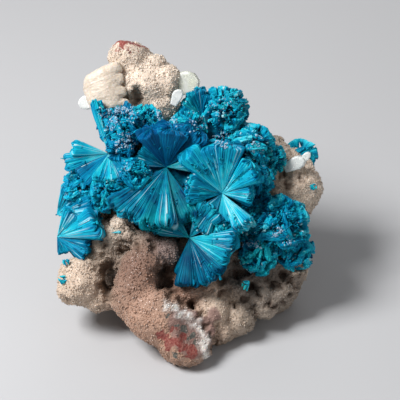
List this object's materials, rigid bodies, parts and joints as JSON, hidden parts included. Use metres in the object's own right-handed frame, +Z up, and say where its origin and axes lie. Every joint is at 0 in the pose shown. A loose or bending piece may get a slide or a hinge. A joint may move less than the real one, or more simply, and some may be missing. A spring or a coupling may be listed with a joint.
{
  "type": "cavansite on matrix",
  "caption": "Sprays and balls of blue cavansite crystals on a lumpy, druse-coated stone, with pale stilbite crystals beside them, resting on a flat broken base.",
  "frame": {"origin": "middle of the object's outline seen from above, on the level base", "axes": "+Z up, -Y out of the side that shows the crystals, +X to the right when that side is seen"},
  "size_m": [0.0424, 0.0376, 0.0388],
  "materials": {
    "druse_coated_stone": "rough, with a coat of tiny glittering crystals",
    "cavansite": "vitreous to pearly, with a satin sheen along the blades",
    "stilbite_cream": "pearly, finely grooved",
    "stilbite_clear": "milky, see-through at the edges"
  },
  "bodies": {
    "root": {"matrix": "druse_coated_stone", "cavansite_cluster": "cavansite", "cavansite_far_spray": "cavansite", "cavansite_speck_1": "cavansite", "cavansite_speck_2": "cavansite", "cavansite_speck_3": "cavansite", "cavansite_speck_4": "cavansite", "stilbite_sheaf": "stilbite_cream", "stilbite_blade_top": "stilbite_clear", "stilbite_blade_small": "stilbite_clear", "stilbite_tip_left": "stilbite_clear", "stilbite_blade_right": "stilbite_clear"}
  },
  "joints": []
}
